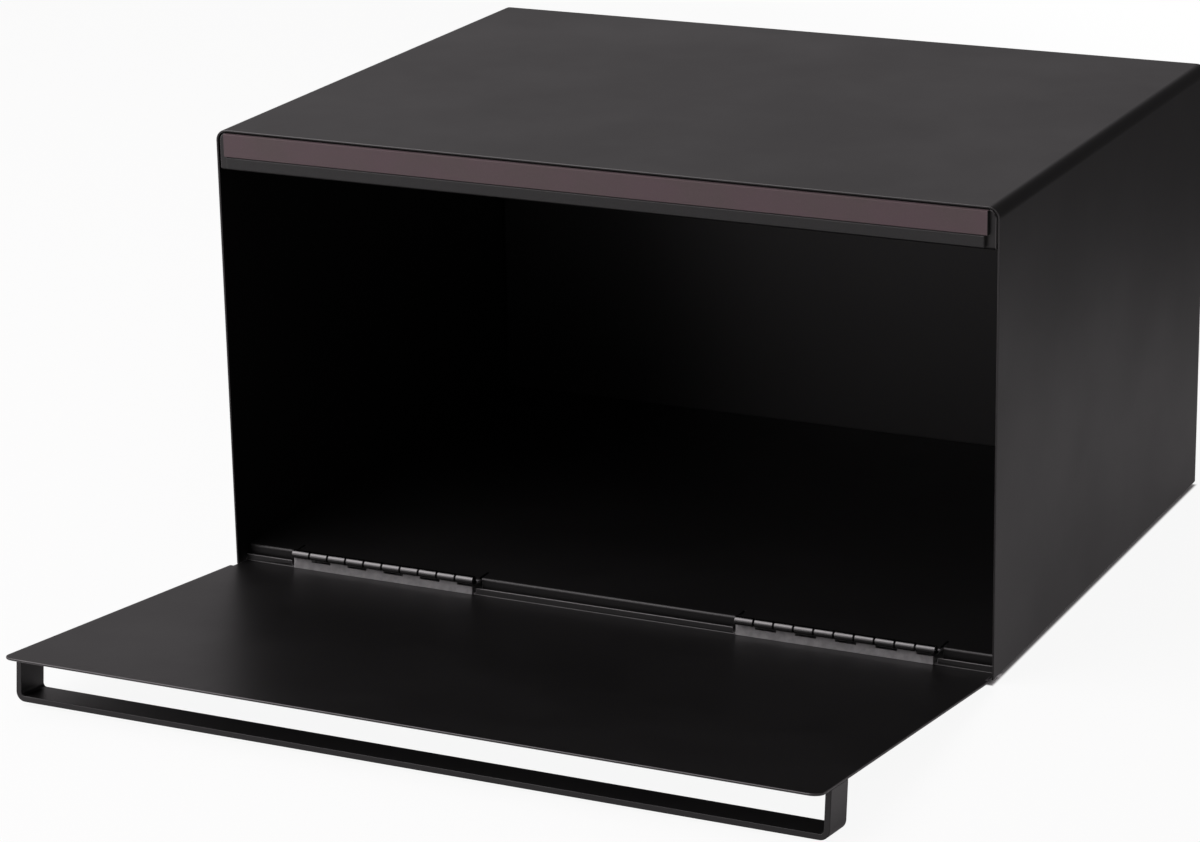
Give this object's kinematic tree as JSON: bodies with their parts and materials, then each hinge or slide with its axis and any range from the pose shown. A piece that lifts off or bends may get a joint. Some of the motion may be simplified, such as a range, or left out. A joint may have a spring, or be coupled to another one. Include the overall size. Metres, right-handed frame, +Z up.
{
  "type": "bread box",
  "caption": "Matte black sheet-steel bread box with a drop-front hinged door, a full-width bar handle and a magnet strip that holds it shut.",
  "frame": {"origin": "centre of the box body's base rectangle, without the open door, on the plane that the feet stand on", "axes": "+Z up, +Y from the door opening to the back panel, +X to the right as seen from the front"},
  "size_m": [0.43, 0.5492, 0.2415],
  "materials": {
    "painted_steel": "fine matte black powder coat",
    "hinge_steel": "satin blackened steel",
    "flexible_magnet": "matte brown ferrite rubber",
    "bumper_rubber": "matte dark soft strip",
    "foot_rubber": "matte black pad"
  },
  "bodies": {
    "body": {"shell": "painted_steel", "back_panel": "painted_steel", "floor_panel": "painted_steel", "header_rail": "painted_steel", "magnet_strip": "flexible_magnet", "bumper_strip": "bumper_rubber", "left_hinge_box_leaf": "hinge_steel", "right_hinge_box_leaf": "hinge_steel", "left_hinge_pin": "hinge_steel", "right_hinge_pin": "hinge_steel", "front_left_foot": "foot_rubber", "front_right_foot": "foot_rubber", "rear_left_foot": "foot_rubber", "rear_right_foot": "foot_rubber"},
    "door": {"door_panel": "painted_steel", "handle": "painted_steel", "left_hinge_door_leaf": "hinge_steel", "right_hinge_door_leaf": "hinge_steel"}
  },
  "joints": [
    {"name": "door_hinge", "type": "hinge", "parent": "body", "child": "door", "pos_m": [0, -0.1581, 0.011], "axis": [-1, 0, 0], "range_deg": [-14, 83.4]}
  ]
}
